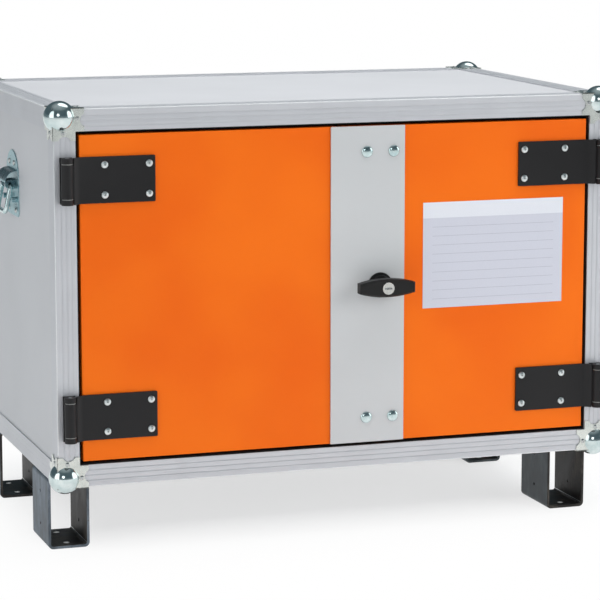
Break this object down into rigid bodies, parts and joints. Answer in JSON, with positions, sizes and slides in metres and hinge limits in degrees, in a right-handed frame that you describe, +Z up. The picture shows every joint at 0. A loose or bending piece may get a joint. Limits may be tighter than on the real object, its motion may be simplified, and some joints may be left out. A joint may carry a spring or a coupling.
{
  "type": "battery cabinet",
  "caption": "Two-door cabinet for storing batteries: aluminium edge-profile case with ball corners, flush doors on surface hinges, rod lock, side bails and steel feet.",
  "frame": {"origin": "on the floor, under the middle of the whole object's bounding box", "axes": "+X to the right seen from the front, +Y into the cabinet, +Z up; the doors face -Y"},
  "size_m": [0.8376, 0.568, 0.62],
  "materials": {
    "anodised_profile": "natural anodised, fine lengthwise extrusion lines",
    "case_panel": "light grey coated board, smooth and slightly satin",
    "lining_board": "pale mineral fire board, matt",
    "surround_board": "pale mineral board, painted grey",
    "core_board": "pale mineral fire board, matt",
    "zinc_fitting": "bright zinc plate with a cool tint",
    "rivet_steel": "plain bright rivet",
    "seal_rubber": "black cellular rubber, matt",
    "zinc_steel": "zinc-plated steel",
    "screw_zinc": "bright zinc-plated screw",
    "raw_steel": "hot-rolled steel with blue-black mill scale",
    "hinge_black": "black powder coat, satin",
    "pin_steel": "plain ground steel",
    "washer_nylon": "grey nylon",
    "door_paint": "bright orange powder coat, satin",
    "strip_paint": "light grey powder coat, satin",
    "grip_black": "black glass-filled nylon",
    "cylinder_nickel": "nickel-plated lock cylinder",
    "galvanised_plate": "galvanised sheet, faint spangle",
    "bail_wire": "bright zinc-plated wire"
  },
  "bodies": {
    "cabinet": {"ball_corners": "zinc_fitting", "corner_rivets": "rivet_steel", "door_seal": "seal_rubber", "door_surround": "surround_board", "foot_bolts": "zinc_steel", "foot_front_left": "raw_steel", "foot_front_right": "raw_steel", "foot_rear_left": "raw_steel", "foot_rear_right": "raw_steel", "hinge_bases": "hinge_black", "hinge_pins": "pin_steel", "hinge_washers": "washer_nylon", "left_handle_plate": "galvanised_plate", "lining_bottom": "lining_board", "lining_left": "lining_board", "lining_rear": "lining_board", "lining_right": "lining_board", "lining_top": "lining_board", "panel_bottom": "case_panel", "panel_left": "case_panel", "panel_rear": "case_panel", "panel_right": "case_panel", "panel_top": "case_panel", "plate_rivets": "rivet_steel", "profile_bottom_front": "anodised_profile", "profile_bottom_left": "anodised_profile", "profile_bottom_rear": "anodised_profile", "profile_bottom_right": "anodised_profile", "profile_front_left": "anodised_profile", "profile_front_right": "anodised_profile", "profile_rear_left": "anodised_profile", "profile_rear_right": "anodised_profile", "profile_top_front": "anodised_profile", "profile_top_left": "anodised_profile", "profile_top_rear": "anodised_profile", "profile_top_right": "anodised_profile", "right_handle_plate": "galvanised_plate", "rod_keepers": "zinc_steel", "shelf": "galvanised_plate", "shelf_rails": "galvanised_plate"},
    "left_door": {"left_door_skin": "door_paint", "left_door_core": "core_board", "left_hinge_leaves": "hinge_black", "left_hinge_screws": "screw_zinc"},
    "right_door": {"right_door_skin": "door_paint", "right_door_core": "core_board", "right_hinge_leaves": "hinge_black", "right_hinge_screws": "screw_zinc", "centre_strip": "strip_paint", "strip_bolts": "screw_zinc", "rod_guides": "zinc_steel", "handle_rose": "grip_black"},
    "handle": {"handle_grip": "grip_black", "handle_spindle": "zinc_steel", "lock_cam": "zinc_steel"},
    "lock_cylinder": {"lock_cylinder": "cylinder_nickel"},
    "upper_rod": {"upper_rod": "zinc_steel"},
    "lower_rod": {"lower_rod": "zinc_steel"},
    "left_bail": {"left_bail": "bail_wire"},
    "right_bail": {"right_bail": "bail_wire"}
  },
  "joints": [
    {"name": "right_door_hinge", "type": "hinge", "parent": "cabinet", "child": "right_door", "pos_m": [0.3845, -0.2575, 0.355], "axis": [0, 0, 1], "range_deg": [0, 175]},
    {"name": "left_door_hinge", "type": "hinge", "parent": "cabinet", "child": "left_door", "pos_m": [-0.3845, -0.2575, 0.355], "axis": [0, 0, -1], "range_deg": [0, 175]},
    {"name": "handle_turn", "type": "hinge", "parent": "right_door", "child": "handle", "pos_m": [0.057, -0.246, 0.355], "axis": [0, 1, 0], "range_deg": [0, 90]},
    {"name": "key_turn", "type": "hinge", "parent": "handle", "child": "lock_cylinder", "pos_m": [0.057, -0.246, 0.355], "axis": [0, 1, 0], "range_deg": [0, 90]},
    {"name": "upper_rod_slide", "type": "slide", "parent": "right_door", "child": "upper_rod", "axis": [0, 0, 1], "range_m": [0, 0.0227]},
    {"name": "lower_rod_slide", "type": "slide", "parent": "right_door", "child": "lower_rod", "axis": [0, 0, -1], "range_m": [0, 0.0227]},
    {"name": "left_bail_swing", "type": "hinge", "parent": "cabinet", "child": "left_bail", "pos_m": [-0.4075, 0.014, 0.4835], "axis": [0, 1, 0], "range_deg": [0, 80]},
    {"name": "right_bail_swing", "type": "hinge", "parent": "cabinet", "child": "right_bail", "pos_m": [0.4075, 0.014, 0.4835], "axis": [0, -1, 0], "range_deg": [0, 80]}
  ],
  "couplings": [
    {"joint": "left_door_hinge", "follows": "right_door_hinge", "ratio": 1},
    {"joint": "upper_rod_slide", "follows": "handle_turn", "m_per_rad": 0.014405},
    {"joint": "lower_rod_slide", "follows": "handle_turn", "m_per_rad": 0.014405}
  ]
}
